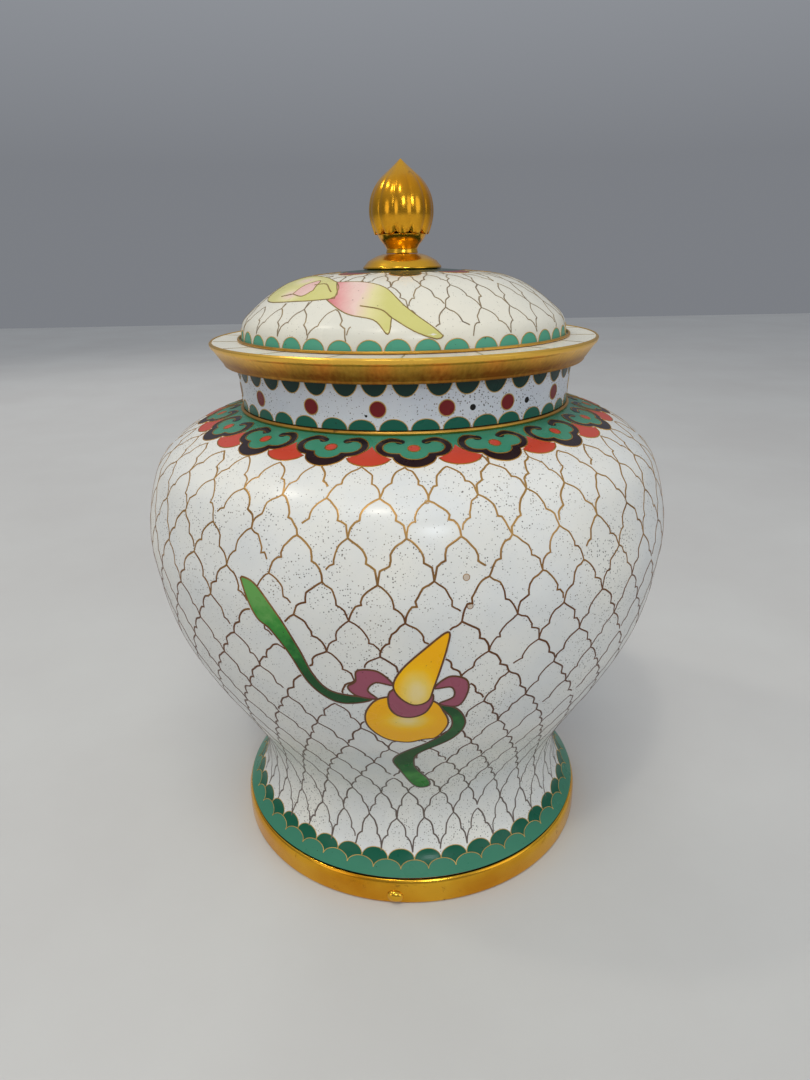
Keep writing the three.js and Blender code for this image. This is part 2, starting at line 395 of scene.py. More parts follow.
def closed_curve(points, step=0.6):
    """A smooth closed outline through points, with no corner."""
    points = np.array(points, float)
    around = np.vstack([points[-2:], points, points[:3]])
    curve = spline(around, step)
    first, last = sorted(np.linalg.norm(curve - points[0], axis=1).argsort()[:2])
    return curve[first:last]


def mirrored(points):
    """The same run on the other side of a shape's middle line, in the opposite order."""
    return [(-x, y) for x, y in reversed(points)]


def disc(surface, angle, along, radius, points=22):
    """A round outline with its radius in millimetres."""
    turns = np.arange(points) / points * 2 * math.pi
    wide = surface.degrees(radius, along)
    return np.stack([angle + wide * np.cos(turns), along + radius * np.sin(turns)], axis=1)


def arch(angle, half, foot, peak, points=14):
    """Half an ellipse that stands on foot, or hangs from it when peak is lower. half is in degrees."""
    turns = np.arange(points + 1) / points * math.pi
    return np.stack([angle - half * np.cos(turns), foot + (peak - foot) * np.sin(turns)], axis=1)


def scallop_row(cells, wires, surface, draw, count, first_angle, half, foot, peak, uneven=0.1):
    """A row of half-ellipses from foot to peak, each slipped and sized a little differently."""
    for index in range(count):
        angle = first_angle + index * 360 / count + draw.uniform(-0.4, 0.4)
        shape = arch(angle, half, foot, peak + draw.uniform(-uneven, 0.15))
        cell(cells, surface, shape, LOW)
        stroke(wires, surface, shape, THIN_WIRE, LOW)


# One side of an arch of the lattice: (share of the way across, share of the way down), with a cusp between.
UPPER_LOBE = ((0, 0), (0.17, 0.08), (0.37, 0.18), (0.53, 0.32), (0.59, 0.45), (0.59, 0.57))
LOWER_LOBE = ((0.59, 0.57), (0.74, 0.61), (0.89, 0.71), (0.96, 0.85), (1, 1))
TREMOR = 0.018  # how far a hand-bent wire strays, as a share of the arch
FREE_ENDS = 0.22  # the share of the arches' sides that stop short of the row below


def lattice(piece, surface, columns, first_angle, rows, blocked, seed, sway=0.35, width=1.0):
    """Cusped arches in rows. Each arch's feet stand on the peaks of the two arches below it."""
    draw = random.Random(seed)
    pitch = 360 / columns
    peaks = []
    for index, along in enumerate(rows):
        shift = first_angle + pitch / 2 * (index % 2)
        row = []
        for column in range(columns):
            slip = surface.degrees(draw.uniform(-sway, sway), along)
            row.append((shift + column * pitch + slip, along + draw.uniform(-sway, sway)))
        peaks.append(row)
    for index in range(len(rows) - 1):
        for column, (angle, along) in enumerate(peaks[index]):
            for side in (-1, 1):
                place = column + (side - 1) // 2 + index % 2
                below = peaks[index + 1][place % columns]
                across = (below[0] - angle + 180) % 360 - 180
                path = arch_side(draw, (angle, along), across, below[1] - along)
                lay_wire(piece, surface, path, blocked, WIRE * draw.uniform(0.85, 1.15) * width)


def arch_side(draw, peak, across, down):
    """The path of one side of an arch, a little uneven, as bent by hand."""
    swell = draw.uniform(-0.06, 0.05)
    cusp = draw.uniform(-0.04, 0.04)
    path = []
    for lobe in (UPPER_LOBE, LOWER_LOBE):
        shares = np.array(lobe, float)
        waves = np.sin(shares[:, 1] * math.pi)
        shares[:, 0] += waves * swell
        shares[:, 1] += waves * cusp
        shares[1:-1] += [(draw.gauss(0, TREMOR), draw.gauss(0, TREMOR)) for _ in shares[1:-1]]
        path.append(spline(shares, 0.13))
    shares = np.vstack([path[0], path[1][1:]])
    if draw.random() < FREE_ENDS:
        shares = shares[: -draw.choice((1, 1, 2))]
    return shares * [across, down] + peak


def lay_wire(piece, surface, path, hidden, width=WIRE, lift=0.0):
    """Lays the stretches of a wire that nothing hides. hidden tests an array of places."""
    fine = spline(path, 0.35)
    covered = hidden(fine)
    if not covered.any():
        stroke(piece, surface, path, width, lift)
        return
    cuts = np.flatnonzero(np.diff(covered.astype(int))) + 1
    for run, is_covered in zip(np.split(fine, cuts), covered[[0, *cuts]]):
        if not is_covered and len(run) > 4:
            stroke(piece, surface, np.vstack([run[:-1:2], run[-1:]]), width, lift)


def lay_rim(piece, surface, outline, hidden, width=WIRE, lift=0.0):
    """Lays the wire round a closed outline, where nothing hides it."""
    covered = hidden(outline)
    if not covered.any():
        stroke(piece, surface, outline, width, lift, closed=True)
        return
    start = int(np.flatnonzero(covered)[0])
    path = np.roll(outline, -start, axis=0)
    lay_wire(piece, surface, np.vstack([path, path[:1]]), hidden, width, lift)


def turned_about(outline, places):
    """Places with each angle brought within half a turn of an outline's middle."""
    middle = outline[:, 0].mean()
    moved = np.array(places, float)
    moved[:, 0] = (moved[:, 0] - middle + 180) % 360 - 180 + middle
    return moved


def covered_by(outlines, radius, margin=0.0):
    """A test for places that fall on any of the outlines, or within a margin of one, in millimetres."""
    squash = np.array([math.radians(radius), 1.0])

    def covered(places):
        hidden = np.zeros(len(places), bool)
        for outline in outlines:
            hidden |= inside(outline * squash, turned_about(outline, places) * squash, margin)
        return hidden
    return covered


# ---------------- materials

def srgb(red, green, blue):
    """A colour given as 0 to 255, as shaders take it."""
    def linear(value):
        value /= 255
        return value / 12.92 if value <= 0.04045 else ((value + 0.055) / 1.055) ** 2.4
    return (linear(red), linear(green), linear(blue), 1.0)


class Shader:
    """A material built from short calls. An input given as a socket is linked, and any other is set."""

    def __init__(self, name, **settings):
        self.material = bpy.data.materials.new(name)
        self.material.use_nodes = True
        self.tree = self.material.node_tree
        self.surface = self.tree.nodes["Principled BSDF"]
        self.set(self.surface, settings)

    def set(self, node, inputs):
        for key, value in inputs.items():
            key = key.replace("_", " ") if isinstance(key, str) else key
            if isinstance(value, bpy.types.NodeSocket):
                self.tree.links.new(value, node.inputs[key])
            else:
                node.inputs[key].default_value = value

    def node(self, kind, inputs=None, output=0, **settings):
        made = self.tree.nodes.new(kind)
        for key, value in settings.items():
            setattr(made, key, value)
        self.set(made, inputs or {})
        return made.outputs[output]

    def place(self):
        return self.node("ShaderNodeTexCoord", output="Object")

    def noise(self, scale, detail=3.0, roughness=0.5, vector=None):
        inputs = {"Vector": vector or self.place(), "Scale": scale, "Detail": detail, "Roughness": roughness}
        return self.node("ShaderNodeTexNoise", inputs)

    def ramp(self, factor, *stops):
        """A colour ramp: each stop is (position, colour)."""
        made = self.tree.nodes.new("ShaderNodeValToRGB")
        self.tree.links.new(factor, made.inputs[0])
        elements = made.color_ramp.elements
        while len(elements) < len(stops):
            elements.new(0.5)
        for element, (position, colour) in zip(elements, stops):
            element.position = position
            element.color = colour
        return made.outputs[0]

    def grey_ramp(self, factor, *stops):
        return self.ramp(factor, *((position, (value, value, value, 1)) for position, value in stops))

    def math(self, operation, first, second=0.0, third=0.0):
        return self.node("ShaderNodeMath", {0: first, 1: second, 2: third}, operation=operation)

    def mix(self, factor, first, second, blend="MIX"):
        inputs = {0: factor, 6: first, 7: second}
        return self.node("ShaderNodeMix", inputs, output=2, data_type="RGBA", blend_type=blend)

    def bump(self, height, strength, distance):
        return self.node("ShaderNodeBump", {"Height": height, "Strength": strength, "Distance": distance})

    def finish(self, **inputs):
        self.set(self.surface, inputs)
        return self.material

    def holes(self, scale, largest, spread, density, offset=(0, 0, 0)):
        """A mask above 0 in small round holes. Each cell of the pattern has a hole of its own size."""
        vector = self.node("ShaderNodeVectorMath", {0: self.place(), 1: offset}, operation="ADD")
        cells = self.tree.nodes.new("ShaderNodeTexVoronoi")
        self.set(cells, {"Vector": vector, "Scale": scale})
        chance = self.node("ShaderNodeSeparateColor", {0: cells.outputs["Color"]})
        size = self.math("MULTIPLY", self.math("POWER", chance, spread), largest)
        size = self.math("MULTIPLY", size, density)
        return self.math("MULTIPLY", self.math("SUBTRACT", size, cells.outputs["Distance"]), 14.0)

    def turning(self):
        """Fine lines round the axis, as a lathe tool leaves."""
        split = self.node("ShaderNodeSeparateXYZ", {0: self.place()}).node
        x, y, height = split.outputs
        squares = self.math("ADD", self.math("POWER", x, 2.0), self.math("POWER", y, 2.0))
        lines = self.node("ShaderNodeCombineXYZ", {0: self.math("SQRT", squares), 1: height})
        return self.noise(2600.0, 2.0, 0.6, vector=lines)


def white_enamel(name, warm, cool, speckle):
    """Polished opaque white with a soft mottle, fine dark pinholes and a few larger ones."""
    s = Shader(name, Specular_IOR_Level=0.38)
    mottle = s.noise(55.0, 4.0, 0.6)
    cloud = s.noise(16.0, 2.0, 0.5)
    base = s.ramp(mottle, (0.3, cool), (0.7, warm))
    base = s.mix(0.35, base, s.grey_ramp(cloud, (0.3, 0.62), (0.7, 0.82)), "MULTIPLY")
    patches = s.grey_ramp(s.noise(60.0, 4.0, 0.65), (0.38, 0.5), (0.62, 1.0))
    tiny = s.holes(2300.0, 0.41 * speckle, 0.8, patches)
    small = s.holes(900.0, 0.2 * speckle, 2.2, patches, offset=(0.013, 0.007, 0.031))
    large = s.holes(250.0, 0.11 * speckle, 4.0, patches, offset=(0.005, 0.017, 0.011))
    hole = s.math("MAXIMUM", s.math("MAXIMUM", tiny, small), large)
    hole = s.node("ShaderNodeClamp", {0: hole})
    dirt = s.ramp(s.noise(90.0, 2.0), (0.4, srgb(44, 42, 40)), (0.6, srgb(96, 82, 66)))
    colour = s.mix(s.math("MULTIPLY", hole, 0.85), base, dirt)
    ripple = s.noise(150.0, 2.0, 0.4)
    height = s.math("SUBTRACT", s.math("MULTIPLY", ripple, 0.4), hole)
    normal = s.bump(height, 0.35, 0.0002)
    rough = s.math("ADD", s.math("MULTIPLY", hole, 0.4), s.grey_ramp(cloud, (0.3, 0.2), (0.7, 0.32)))
    return s.finish(Base_Color=colour, Roughness=rough, Normal=normal)


def coloured_enamel(name, stops, cloudy=0.25, grain=420.0, rough=0.2):
    """Polished coloured enamel: its colour follows the mesh's tone, blurred by grain, with pinholes."""
    s = Shader(name, Specular_IOR_Level=0.22, Coat_Weight=0.06, Coat_Roughness=0.06)
    tone = s.node("ShaderNodeAttribute", output="Fac", attribute_name="tone")
    stir = s.math("MULTIPLY", s.math("SUBTRACT", s.noise(grain, 4.0, 0.65), 0.5), cloudy)
    drift = s.math("MULTIPLY", s.math("SUBTRACT", s.noise(120.0, 2.0, 0.5), 0.5), cloudy * 1.4)
    place = s.math("ADD", tone, s.math("ADD", stir, drift))
    base = s.ramp(place, *stops)
    hole = s.node("ShaderNodeClamp", {0: s.holes(1100.0, 0.2, 3.0, 1.0)})
    colour = s.mix(s.math("MULTIPLY", hole, 0.7), base, srgb(30, 26, 24))
    depth = s.math("SUBTRACT", s.math("MULTIPLY", s.noise(260.0, 2.0, 0.4), 0.5), hole)
    normal = s.bump(depth, 0.4, 0.0002)
    roughness = s.math("MULTIPLY_ADD", s.noise(200.0, 2.0), 0.2, rough)
    return s.finish(Base_Color=colour, Roughness=roughness, Normal=normal)


def plain_enamel(name, dark, light, cloudy=0.25, grain=420.0, rough=0.2, low=0.3):
    """Coloured enamel that is clouded between two shades of one colour."""
    return coloured_enamel(name, [(low, dark), (low + 0.4, light)], cloudy, grain, rough)


def gilding(name, bright, deep, worn, rough=0.2):
    """Gilt brass: fine turning lines, a cloudy tone and small spots where the gilding has worn."""
    s = Shader(name, Metallic=1.0)
    cloud = s.noise(45.0, 4.0, 0.6)
    base = s.ramp(cloud, (0.32, deep), (0.62, bright))
    spots = s.grey_ramp(s.noise(520.0, 4.0, 0.7), (0.62, 0.0), (0.74, 0.8))
    colour = s.mix(spots, base, worn)
    turned = s.turning()
    roughness = s.math("MULTIPLY_ADD", spots, 0.2, s.math("MULTIPLY_ADD", turned, 0.16, rough - 0.06))
    height = s.math("MULTIPLY_ADD", s.noise(900.0, 3.0, 0.6), 0.5, turned)
    normal = s.bump(height, 0.12, 0.00006)
    return s.finish(Base_Color=colour, Roughness=roughness, Normal=normal)


def brushed_gilding(name, bright, deep):
    """Gilt brass with fine upright strokes, with a painted highlight that makes it brighter along its upper
    edge and browner below; the upper edge is also smoother.
    """
    s = Shader(name, Metallic=1.0)
    stretched = s.node("ShaderNodeMapping", {"Vector": s.place(), "Scale": (1.0, 1.0, 0.08)})
    strokes = s.noise(1500.0, 3.0, 0.5, vector=stretched)
    cloud = s.noise(70.0, 3.0, 0.5)
    height = s.node("ShaderNodeSeparateXYZ", {0: s.place()}, output="Z")
    # Painted highlight: the colour lightens and the surface gets smoother from 114.5 to 117.5 mm up, on the
    # rolled top edge.
    painted_highlight_and_polish = s.node("ShaderNodeMapRange", {0: height, 1: 0.1145, 2: 0.1175})
    colour_mix = s.math("MULTIPLY_ADD", strokes, 0.25, s.math("MULTIPLY", cloud, 0.35))
    # The painted highlight is added to the colour here.
    tone = s.math("MULTIPLY_ADD", painted_highlight_and_polish, 0.4, colour_mix)
    colour = s.ramp(tone, (0.25, deep), (0.65, bright))
    roughness = s.math("MULTIPLY_ADD", strokes, 0.12, s.math("MULTIPLY_ADD", painted_highlight_and_polish, -0.12, 0.36))
    return s.finish(Base_Color=colour, Roughness=roughness, Normal=s.bump(strokes, 0.2, 0.0001))


def lattice_wire(name):
    """Ground wire: gilt near the shoulder, with painted shade that makes it browner and greyer lower down."""
    s = Shader(name, Metallic=0.75)
    height = s.node("ShaderNodeSeparateXYZ", {0: s.place()}, output="Z")
    # Painted shade: the colour runs from gilt at about 100 mm up to brown and grey at about 28 mm up, with a
    # little noise.
    fade = s.math("MULTIPLY_ADD", s.noise(70.0, 2.0), 0.024, s.math("SUBTRACT", height, 0.012))
    share = s.node("ShaderNodeMapRange", {0: fade, 1: 0.028, 2: 0.1})
    colour_mix = s.math("ADD", share, s.math("MULTIPLY", s.math("SUBTRACT", s.noise(380.0, 3.0), 0.5), 0.3))
    colour = s.ramp(colour_mix, (0.0, srgb(120, 108, 102)), (0.3, srgb(100, 72, 60)), (0.68, srgb(116, 76, 46)),
                    (0.92, srgb(188, 146, 84)))
    roughness = s.math("MULTIPLY_ADD", s.noise(500.0), 0.25, 0.28)
    return s.finish(Base_Color=colour, Roughness=roughness)


def dull_wire(name, dark, light):
    s = Shader(name, Metallic=0.5)
    colour = s.ramp(s.noise(300.0, 3.0, 0.6), (0.3, dark), (0.7, light))
    return s.finish(Base_Color=colour, Roughness=s.math("MULTIPLY_ADD", s.noise(500.0), 0.25, 0.35))


def copper(name):
    s = Shader(name, Metallic=1.0)
    tarnish = s.noise(60.0, 5.0, 0.65)
    colour = s.ramp(tarnish, (0.35, srgb(120, 66, 44)), (0.65, srgb(196, 122, 86)))
    roughness = s.math("MULTIPLY_ADD", tarnish, 0.3, 0.25)
    return s.finish(Base_Color=colour, Roughness=roughness, Normal=s.bump(s.turning(), 0.15, 0.00006))


def pale_floor(name):
    s = Shader(name, Specular_IOR_Level=0.25)
    tint = s.ramp(s.noise(9.0, 5.0, 0.6), (0.35, srgb(189, 188, 186)), (0.65, srgb(194, 194, 192)))
    grain = s.noise(700.0, 3.0, 0.6)
    return s.finish(Base_Color=tint, Roughness=s.math("MULTIPLY_ADD", grain, 0.1, 0.62),
                    Normal=s.bump(grain, 0.05, 0.0003))


gilt = gilding("gilt_brass", srgb(246, 188, 56), srgb(222, 150, 32), srgb(140, 98, 40))
# A brighter and smoother copy of the gilt, for the foot's bead: its brighter colour is a painted highlight.
painted_highlight_gilt = gilding("painted_highlight_gilt_brass", srgb(252, 200, 70), srgb(236, 172, 44), srgb(160, 110, 44), 0.14)
brushed_gilt = brushed_gilding("brushed_gilt_brass", srgb(248, 196, 84), srgb(150, 100, 38))
gilt_wire = gilding("gilt_wire", srgb(232, 180, 84), srgb(186, 132, 52), srgb(112, 80, 46), 0.36)
plain_brass = gilding("plain_brass", srgb(200, 160, 92), srgb(160, 122, 62), srgb(110, 86, 50), 0.34)
# The lattice wire, with painted shade that darkens it lower down.
painted_shade_wire = lattice_wire("lattice_wire")
lid_wire = dull_wire("lid_lattice_wire", srgb(122, 108, 92), srgb(168, 146, 108))
leaf_wire = dull_wire("leaf_wire", srgb(124, 100, 54), srgb(168, 144, 84))
fine_wire = dull_wire("fine_gilt_wire", srgb(170, 134, 66), srgb(216, 178, 104))
bare_copper = copper("copper_core")
body_white = white_enamel("body_white_enamel", srgb(234, 233, 225), srgb(221, 224, 224), 1.0)
neck_white = white_enamel("neck_white_enamel", srgb(232, 235, 240), srgb(218, 224, 234), 1.1)
lid_white = white_enamel("lid_white_enamel", srgb(230, 226, 211), srgb(219, 218, 207), 0.6)
skirt_green = plain_enamel("skirt_green_enamel", srgb(58, 122, 98), srgb(92, 148, 124), 0.4)
scallop_green = plain_enamel("scallop_green_enamel", srgb(18, 88, 66), srgb(36, 108, 84), low=0.2)
teal_green = plain_enamel("teal_green_enamel", srgb(16, 94, 76), srgb(44, 128, 106), 0.5, low=0.2)
collar_green = plain_enamel("collar_green_enamel", srgb(56, 130, 104), srgb(98, 156, 130), 0.7)
lid_green = plain_enamel("lid_green_enamel", srgb(82, 158, 132), srgb(120, 182, 160), 0.4)
dark_green = plain_enamel("dark_green_enamel", srgb(6, 48, 40), srgb(20, 66, 54))
black = plain_enamel("black_enamel", srgb(34, 20, 26), srgb(66, 48, 56), 0.5)
orange = plain_enamel("orange_enamel", srgb(186, 66, 48), srgb(208, 90, 70), 0.5)
dark_red = plain_enamel("dark_red_enamel", srgb(118, 22, 26), srgb(148, 38, 36))
gourd_yellow = coloured_enamel("gourd_enamel", [
    (0.05, srgb(238, 172, 0)), (0.35, srgb(240, 184, 6)),
    (0.7, srgb(230, 198, 92)), (0.95, srgb(228, 208, 148))], 0.18)
mauve = plain_enamel("mauve_enamel", srgb(148, 78, 96), srgb(178, 106, 124), 0.5)
ribbon_green = coloured_enamel("ribbon_enamel", [
    (0.1, srgb(12, 72, 30)), (0.4, srgb(24, 98, 38)),
    (0.7, srgb(58, 138, 54)), (0.95, srgb(94, 152, 76))], 0.8)
leaf_pink = coloured_enamel("leaf_enamel", [
    (0.0, srgb(196, 108, 114)), (0.16, srgb(214, 152, 150)), (0.4, srgb(222, 194, 184)),
    (0.7, srgb(214, 206, 152)), (1.0, srgb(198, 194, 120))], 0.16)
pit_stain = plain_enamel("pit_stain_enamel", srgb(190, 176, 160), srgb(220, 212, 200), 0.6)
turquoise = plain_enamel("turquoise_enamel", srgb(52, 142, 150), srgb(92, 178, 180), 0.6, 160.0)
pit_dark = plain_enamel("pit_enamel", srgb(28, 24, 22), srgb(64, 50, 40), 0.5, 900.0, 0.6)


# ---------------- turned pieces

NECK_FOOT = 115.4  # how far along the body the ring at the foot of the neck lies
COLLAR_REACH = 8.0  # how far below that ring the green ground of the collar ends
SKIRT_EDGE = 3.7  # how far along the body the green skirt reaches
CROWN_EDGE = 27.2  # how far up the dome its dark green crown begins

body = Surface(["foot_enamel", "body_enamel", "collar_enamel"], start_height=6.7, last=(35.7, 103.6))
neck = Surface(["neck_enamel"], start_height=103.6)
dome = Surface(["dome_scallop_enamel", "dome_enamel", "dome_crown_enamel"], start_height=117.8)


def turned_pieces():
    """Every piece whose fine form is only its CAD section, smoothed."""
    for node, body_name, slot, material, fillet in (
        ("foot_ring", "jar", "gilt_brass", gilt, 1.3),
        ("base_plate", "jar", "copper_core", bare_copper, 0.1),
        ("base_enamel", "jar", "turquoise_enamel", turquoise, 0.1),
        ("body_shell", "jar", "copper_core", bare_copper, 0.1),
        ("body_lining", "jar", "turquoise_enamel", turquoise, 0.1),
        ("neck_ring_wire", "jar", "gilt_wire", gilt_wire, 0.1),
        ("neck_shell", "jar", "copper_core", bare_copper, 0.1),
        ("mouth_rim", "jar", "gilt_brass", gilt, 0.25),
        ("lid_locating_collar", "lid_collar", "gilt_brass", gilt, 0.25),
        ("lid_shell", "lid", "copper_core", bare_copper, 0.1),
        ("lid_lining", "lid", "turquoise_enamel", turquoise, 0.1),
        ("dome_base_wire", "lid", "gilt_wire", gilt_wire, 0.1),
        ("flange_enamel", "lid", "white_enamel", lid_white, 0.15),
    ):
        turned_piece(node, body_name, slot, material, fillet)
    for node, slot, material in (
        ("finial_base", "gilt_brass", gilt), ("finial_stem", "gilt_brass", gilt),
        ("finial_stud", "plain_brass", plain_brass), ("finial_washer", "plain_brass", plain_brass),
    ):
        turned_piece(node, "lid", slot, material, 0.2, SMALL_SEGMENTS)
    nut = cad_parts["finial_nut"].data
    nut.materials.clear()
    nut.materials.append(plain_brass)


def white_and_green_coats():
    """The outer enamel. Its coats meet where the patterns need them to, and not at the CAD's joins."""
    collar_edge = NECK_FOOT - COLLAR_REACH
    for surface, node, body_name, slot, material, low, high in (
        (body, "foot_enamel", "jar", "green_enamel", skirt_green, body.lengths[0], SKIRT_EDGE),
        (body, "body_enamel", "jar", "white_enamel", body_white, SKIRT_EDGE, collar_edge),
        (body, "collar_enamel", "jar", "green_enamel", collar_green, collar_edge, body.lengths[-1]),
        (neck, "neck_enamel", "jar", "white_enamel", neck_white, neck.lengths[0], neck.lengths[-1]),
        (dome, "dome_enamel", "lid", "white_enamel", lid_white, dome.lengths[0], CROWN_EDGE),
        (dome, "dome_crown_enamel", "lid", "green_enamel", dark_green, CROWN_EDGE, dome.lengths[-1]),
    ):
        coat(surface, node, body_name, slot, material, low, high)


def rim_band():
    """The gilt band round the brim, with its upper edge rolled over and a fine bead along its lower edge."""
    outline = section("lid_rim_band")
    low, high = outline[:, 1].min(), outline[:, 1].max()
    foot = outline[outline[:, 1] == low][:, 0]
    slope = (outline[:, 0].max() - foot.max()) / (high - low)
    wall = foot.max() - foot.min()
    roll, bead = 1.25, 0.35  # heights of the rolled edge and of the bead

    def shaped(radius, height, angle):
        share = min(1.0, max(0.0, (radius - foot.min() - slope * (height - low)) / wall))
        rolled = max(0.0, (height - high + roll) / roll) ** 2 * 0.5
        waist = 0.12 if height > low + bead and height < high - roll else 0.0
        return radius - share * (rolled + waist), height

    piece = Piece()
    spin(piece, rounded(outline, 0.12, False, step=0.25), SEGMENTS, shape=shaped)
    piece.make("lid_rim_band_fine", "lid", "gilt_brass", brushed_gilt, replaces=["lid_rim_band"])


PETALS = 12
FLUTE = 0.042  # depth of the grooves between petals, as a share of the radius
PETAL_TURN = math.radians(2.5)


def finial_bud():
    """The bud: convex petals with grooves between, ending in a scalloped rim over the stem."""
    outline = section("finial_bud")
    if outline[0][1] > outline[-1][1]:
        outline = outline[::-1]
    low, tip = outline[:, 1].min(), outline[:, 1].max()
    smooth = np.vstack([outline[:1], rounded(outline, 0.2, True, step=0.5), outline[-1:]])

    def fluted(radius, height, angle):
        if radius < 2.0 and height < low + 4:
            return radius, height
        groove = (1 - abs(math.cos((angle - PETAL_TURN) * PETALS / 2))) ** 1.4
        fade = min(1.0, (tip - height) / 5.0)
        if radius > 4.5:
            height -= 0.7 * (0.4 - groove) * max(0.0, 1 - (height - low) / 2)
        return radius * (1 - FLUTE * fade * groove), height

    piece = Piece()
    spin(piece, smooth, PETALS * 16, shape=fluted)
    piece.make("finial_bud_fine", "lid", "gilt_brass", gilt, replaces=["finial_bud"], sharp=60)


def foot_bead():
    """A drop of solder left on the outside of the foot ring, in a brighter copy of the ring's gilt: a painted
    highlight.
    """
    ring_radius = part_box("foot_ring")[1].x / MM
    steps, rings = 24, 6
    middle, half_width, rise = 2.2, 1.75, 1.1
    points, faces = [], []
    for ring in range(rings):
        slope = ring / rings * math.pi / 2
        out = ring_radius - 0.1 + rise * math.sin(slope)
        for step in range(steps):
            turn = 2 * math.pi * step / steps
            wide = half_width * math.cos(slope) * (1 + 0.1 * math.cos(2 * turn + 0.6))
            angle = math.radians(-5.6) + wide * math.cos(turn) / ring_radius
            height = middle + wide * 0.9 * math.sin(turn)
            points.append((out * math.sin(angle) * MM, -out * math.cos(angle) * MM, height * MM))
    for ring in range(rings - 1):
        for step in range(steps):
            low, high = ring * steps, (ring + 1) * steps
            onward = (step + 1) % steps
            faces.append((low + step, low + onward, high + onward, high + step))
    faces.append(tuple(range(steps))[::-1])
    faces.append(tuple((rings - 1) * steps + step for step in range(steps)))
    piece = Piece()
    piece.add(points, faces)
    piece.make("foot_solder_bead", "jar", "gilt_brass", painted_highlight_gilt)


# ---------------- foot skirt

SKIRT_SCALLOPS = 42
SKIRT_PEAK, SKIRT_FOOT = 6.0, 1.8


def foot_skirt():
    """Two rows of scallops: dark ones against the white, and lighter ones outlined in gilt below them."""
    scallops, wires = Piece(), Piece()
    pitch = 360 / SKIRT_SCALLOPS
    half = 0.498 * pitch  # a hair under half, so that neighbours share no edge
    for index in range(SKIRT_SCALLOPS):
        angle = 4.6 + index * pitch
        top = arch(angle, half, SKIRT_EDGE, SKIRT_PEAK)
        right = arch(angle + half, half, SKIRT_FOOT, SKIRT_EDGE)[7::-1]
        left = arch(angle - half, half, SKIRT_FOOT, SKIRT_EDGE)[:6:-1]
        cell(scallops, body, np.vstack([top[:-1], right[:-1], left[:-1]])[::-1], LOW)
        stroke(wires, body, top, THIN_WIRE, LOW)
        stroke(wires, body, arch(angle + half, half, SKIRT_FOOT, SKIRT_EDGE), THIN_WIRE, LOW)
    scallops.make("foot_scallops", "jar", "dark_green_enamel", scallop_green)
    wires.make("foot_scallop_wires", "jar", "gilt_wire", fine_wire)


# ---------------- shoulder collar

HEADS = 17
HEAD_PITCH = 360 / HEADS
HEAD_ANGLE = 1.9
# Half of a cloud head, as (degrees from its middle, millimetres below the neck wire).
LOBE_OUT = [(3.3, 2.1), (4.3, 1.75), (6.5, 1.5), (8.7, 2.7), (9.7, 4.7), (9.0, 6.4), (7.2, 7.7), (5.1, 8.1)]
LOBE_IN = [(3.0, 3.5), (4.5, 3.0), (6.3, 3.05), (7.7, 4.1), (7.7, 5.5), (6.5, 6.6), (4.7, 6.95), (3.5, 6.95)]
CHIN_OUT = [(5.1, 8.1), (4.3, 9.4), (2.5, 10.5), (0, 11.0), (-2.5, 10.5), (-4.3, 9.4), (-5.1, 8.1)]
CHIN_IN = [(3.5, 6.95), (3.0, 7.8), (1.6, 8.6), (0, 8.8), (-1.6, 8.6), (-3.0, 7.8), (-3.5, 6.95)]
PETAL_SIDE = [(0, 4.6), (1.0, 6.0), (2.6, 7.4), (5.2, 8.5)]
PETAL_FOOT = [(5.2, 8.5), (4.2, 9.6), (2.2, 10.4), (0, 10.65), (-2.2, 10.4), (-4.2, 9.6), (-5.2, 8.5)]
CURL_BALL = (3.5, 2.95, 0.85)


def below_neck(outline, angle):
    """An outline given round a middle angle and downwards, as (angle, along) places on the body."""
    return np.array([(angle + x, NECK_FOOT - y) for x, y in outline])


def shoulder_collar():
    """Cloud heads hanging from the neck: black scrolls round green trefoils, with orange petals between."""
    trefoils, scrolls, petals, dots, wires = Piece(), Piece(), Piece(), Piece(), Piece()
    outlines = []
    outer = (LOBE_OUT, CHIN_OUT, mirrored(LOBE_OUT))
    inner = (LOBE_IN, CHIN_IN, mirrored(LOBE_IN))
    back = [list(reversed(run)) for run in reversed(inner)]
    ends = ([(-3.3, 2.1), (-3.0, 3.5)], [(3.0, 3.5), (3.3, 2.1)])
    scroll = loop(*outer, ends[0], *back, ends[1], step=0.7)
    trefoil = loop(*inner, [(-3.0, 3.5), (3.0, 3.5)], step=0.8)
    petal = loop(PETAL_SIDE, PETAL_FOOT, mirrored(PETAL_SIDE), step=0.8)
    for index in range(HEADS):
        angle = HEAD_ANGLE + index * HEAD_PITCH
        between = angle + HEAD_PITCH / 2
        cell(trefoils, body, below_neck(trefoil, angle), LOW)
        cell(scrolls, body, below_neck(scroll, angle), MIDDLE)
        cell(petals, body, below_neck(petal, between), LOW)
        outlines += [below_neck(loop(*outer, step=0.8), angle), below_neck(petal, between)]
        for run in outer + inner:
            stroke(wires, body, below_neck(spline(run, 0.8), angle), OUTLINE_WIRE, MIDDLE)
        stroke(wires, body, below_neck(spline(PETAL_FOOT, 0.8), between), OUTLINE_WIRE, LOW)
        for side in (-1, 1):
            x, y, radius = CURL_BALL
            cell(scrolls, body, disc(body, angle + side * x, NECK_FOOT - y, radius), HIGH)
        ring = disc(body, angle, NECK_FOOT - 5.3, 1.1)
        cell(dots, body, ring, MIDDLE)
        stroke(wires, body, ring, OUTLINE_WIRE, MIDDLE, closed=True)
    trefoils.make("collar_trefoils", "jar", "green_enamel", collar_green)
    scrolls.make("collar_scrolls", "jar", "black_enamel", black)
    petals.make("collar_petals", "jar", "red_enamel", orange)
    dots.make("collar_dots", "jar", "red_enamel", orange)
    wires.make("collar_wires", "jar", "gilt_wire", gilt_wire)
    return outlines


# ---------------- neck

DOT_ANGLES = [-52, -29, -8, 12, 32, 55]  # the dots round the front; the others are even


